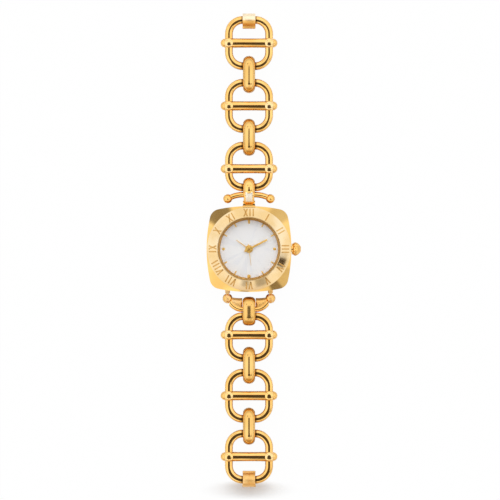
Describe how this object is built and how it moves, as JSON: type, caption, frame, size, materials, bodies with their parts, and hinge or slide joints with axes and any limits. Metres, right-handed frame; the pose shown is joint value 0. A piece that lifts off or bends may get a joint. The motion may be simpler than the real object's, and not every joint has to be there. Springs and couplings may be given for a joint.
{
  "type": "bracelet watch",
  "caption": "Gold-tone bracelet watch: cushion case with a round numeral bezel and pearl dial, hung in a chain of ringed bar links and half-round loops.",
  "frame": {"origin": "middle of the case back's outer face, on which the watch lies flat", "axes": "+Z out of the dial, +Y towards twelve o'clock along the bracelet, +X towards the crown at three o'clock"},
  "size_m": [0.0314, 0.1584, 0.007],
  "materials": {
    "gold": "high polish gold-tone plating",
    "glass": "clear crystal",
    "pearl": "white mother-of-pearl",
    "steel": "brushed",
    "seal": "matt",
    "wheel_brass": "satin",
    "spacer": "matt",
    "board": "satin",
    "copper": "wound wire"
  },
  "bodies": {
    "case": {"case_middle": "gold", "case_posts": "gold", "case_back": "steel", "back_gasket": "seal", "bezel_ring": "gold", "crystal": "glass", "crystal_gasket": "seal", "dial": "pearl", "hour_markers": "gold", "movement_ring": "spacer", "main_plate": "steel", "train_bridge": "steel", "stator": "steel", "coil": "copper", "battery": "steel", "battery_strap": "steel", "circuit_board": "board", "crown_tube": "steel", "upper_hook_pin": "steel"},
    "seconds_train": {"second_hand": "gold", "seconds_wheel": "wheel_brass"},
    "minute_train": {"minute_hand": "gold", "centre_wheel": "wheel_brass"},
    "hour_train": {"hour_hand": "gold", "hour_wheel": "wheel_brass"},
    "third_train": {"third_wheel": "wheel_brass"},
    "fifth_train": {"fifth_wheel": "wheel_brass"},
    "rotor_train": {"rotor": "steel"},
    "minute_reducer": {"minute_wheel": "wheel_brass"},
    "stem_carriage": {"setting_lever": "steel"},
    "crown_group": {"crown": "gold", "crown_stem": "steel", "crown_gasket": "seal", "clutch_wheel": "steel"},
    "hook": {"upper_hook": "gold", "bit_bar": "gold"},
    "link_3": {"link_3_ring": "gold", "link_3_bar": "gold"},
    "loop_b": {"loop_23": "gold"},
    "link_2": {"link_2_ring": "gold", "link_2_bar": "gold"},
    "loop_a": {"loop_12": "gold"},
    "link_1": {"link_1_ring": "gold", "link_1_bar": "gold"},
    "clasp": {"clasp_tube": "gold", "clasp_flap_pin": "steel"},
    "flap": {"clasp_flap": "gold"},
    "stirrup_group": {"stirrup": "gold", "stirrup_pins": "gold"},
    "loop_c": {"lower_loop": "gold"},
    "link_4": {"link_4_ring": "gold", "link_4_bar": "gold"},
    "loop_d": {"loop_45": "gold"},
    "link_5": {"link_5_ring": "gold", "link_5_bar": "gold"},
    "loop_e": {"loop_56": "gold"},
    "link_6": {"link_6_ring": "gold", "link_6_bar": "gold"},
    "catch": {"catch_tube": "gold"}
  },
  "joints": [
    {"name": "second_hand_spin", "type": "hinge", "parent": "case", "child": "seconds_train", "pos_m": [0, 0, 0.003], "axis": [0, 0, -1], "continuous": true},
    {"name": "minute_hand_spin", "type": "hinge", "parent": "case", "child": "minute_train", "pos_m": [0, 0, 0.003], "axis": [0, 0, -1], "continuous": true},
    {"name": "hour_hand_spin", "type": "hinge", "parent": "case", "child": "hour_train", "pos_m": [0, 0, 0.003], "axis": [0, 0, -1], "continuous": true},
    {"name": "third_wheel_spin", "type": "hinge", "parent": "case", "child": "third_train", "pos_m": [0.00219, 0.0019, 0.003], "axis": [0, 0, -1], "continuous": true},
    {"name": "fifth_wheel_spin", "type": "hinge", "parent": "case", "child": "fifth_train", "pos_m": [0.00121, -0.00247, 0.003], "axis": [0, 0, -1], "continuous": true},
    {"name": "rotor_spin", "type": "hinge", "parent": "case", "child": "rotor_train", "pos_m": [0.0028, -0.00376, 0.003], "axis": [0, 0, -1], "continuous": true},
    {"name": "minute_wheel_spin", "type": "hinge", "parent": "case", "child": "minute_reducer", "pos_m": [-0.00259, 0.00162, 0.003], "axis": [0, 0, -1], "continuous": true},
    {"name": "crown_pull", "type": "slide", "parent": "case", "child": "stem_carriage", "axis": [1, 0, 0], "range_m": [0, 0.0007]},
    {"name": "crown_turn", "type": "hinge", "parent": "stem_carriage", "child": "crown_group", "pos_m": [0.015, 0, 0.0031], "axis": [1, 0, 0], "continuous": true},
    {"name": "hook_hinge", "type": "hinge", "parent": "case", "child": "hook", "pos_m": [0, 0.015, 0.0035], "axis": [-1, 0, 0], "range_deg": [-20, 40]},
    {"name": "link_3_swing", "type": "hinge", "parent": "hook", "child": "link_3", "pos_m": [0, 0.02055, 0.0035], "axis": [1, 0, 0], "range_deg": [-90, 90]},
    {"name": "loop_23_swing", "type": "hinge", "parent": "link_3", "child": "loop_b", "pos_m": [0, 0.03445, 0.0035], "axis": [-1, 0, 0], "range_deg": [-90, 90]},
    {"name": "link_2_swing", "type": "hinge", "parent": "loop_b", "child": "link_2", "pos_m": [0, 0.04, 0.0035], "axis": [1, 0, 0], "range_deg": [-90, 90]},
    {"name": "loop_12_swing", "type": "hinge", "parent": "link_2", "child": "loop_a", "pos_m": [0, 0.0554, 0.0035], "axis": [-1, 0, 0], "range_deg": [-90, 90]},
    {"name": "link_1_swing", "type": "hinge", "parent": "loop_a", "child": "link_1", "pos_m": [0, 0.06095, 0.0035], "axis": [1, 0, 0], "range_deg": [-90, 90]},
    {"name": "clasp_swing", "type": "hinge", "parent": "link_1", "child": "clasp", "pos_m": [0, 0.07635, 0.0035], "axis": [-1, 0, 0], "range_deg": [-90, 90]},
    {"name": "flap_fold", "type": "hinge", "parent": "clasp", "child": "flap", "pos_m": [0, 0.0742, 0.002], "axis": [-1, 0, 0], "range_deg": [0, 120]},
    {"name": "stirrup_hinge", "type": "hinge", "parent": "case", "child": "stirrup_group", "pos_m": [0, -0.01645, 0.0035], "axis": [1, 0, 0], "range_deg": [-25, 50]},
    {"name": "lower_loop_swing", "type": "hinge", "parent": "stirrup_group", "child": "loop_c", "pos_m": [0, -0.0201, 0.0035], "axis": [-1, 0, 0], "range_deg": [-80, 80]},
    {"name": "link_4_swing", "type": "hinge", "parent": "loop_c", "child": "link_4", "pos_m": [0, -0.0224, 0.0035], "axis": [1, 0, 0], "range_deg": [-90, 90]},
    {"name": "loop_45_swing", "type": "hinge", "parent": "link_4", "child": "loop_d", "pos_m": [0, -0.0363, 0.0035], "axis": [-1, 0, 0], "range_deg": [-90, 90]},
    {"name": "link_5_swing", "type": "hinge", "parent": "loop_d", "child": "link_5", "pos_m": [0, -0.0412, 0.0035], "axis": [1, 0, 0], "range_deg": [-90, 90]},
    {"name": "loop_56_swing", "type": "hinge", "parent": "link_5", "child": "loop_e", "pos_m": [0, -0.0566, 0.0035], "axis": [-1, 0, 0], "range_deg": [-90, 90]},
    {"name": "link_6_swing", "type": "hinge", "parent": "loop_e", "child": "link_6", "pos_m": [0, -0.0615, 0.0035], "axis": [1, 0, 0], "range_deg": [-90, 90]},
    {"name": "catch_swing", "type": "hinge", "parent": "link_6", "child": "catch", "pos_m": [0, -0.0769, 0.0035], "axis": [-1, 0, 0], "range_deg": [-90, 90]}
  ],
  "couplings": [
    {"joint": "minute_hand_spin", "follows": "second_hand_spin", "ratio": 0.016667},
    {"joint": "hour_hand_spin", "follows": "second_hand_spin", "ratio": 0.0013889},
    {"joint": "third_wheel_spin", "follows": "second_hand_spin", "ratio": -0.125},
    {"joint": "minute_wheel_spin", "follows": "second_hand_spin", "ratio": -0.0055556},
    {"joint": "fifth_wheel_spin", "follows": "second_hand_spin", "ratio": -5},
    {"joint": "rotor_spin", "follows": "second_hand_spin", "ratio": 30}
  ]
}
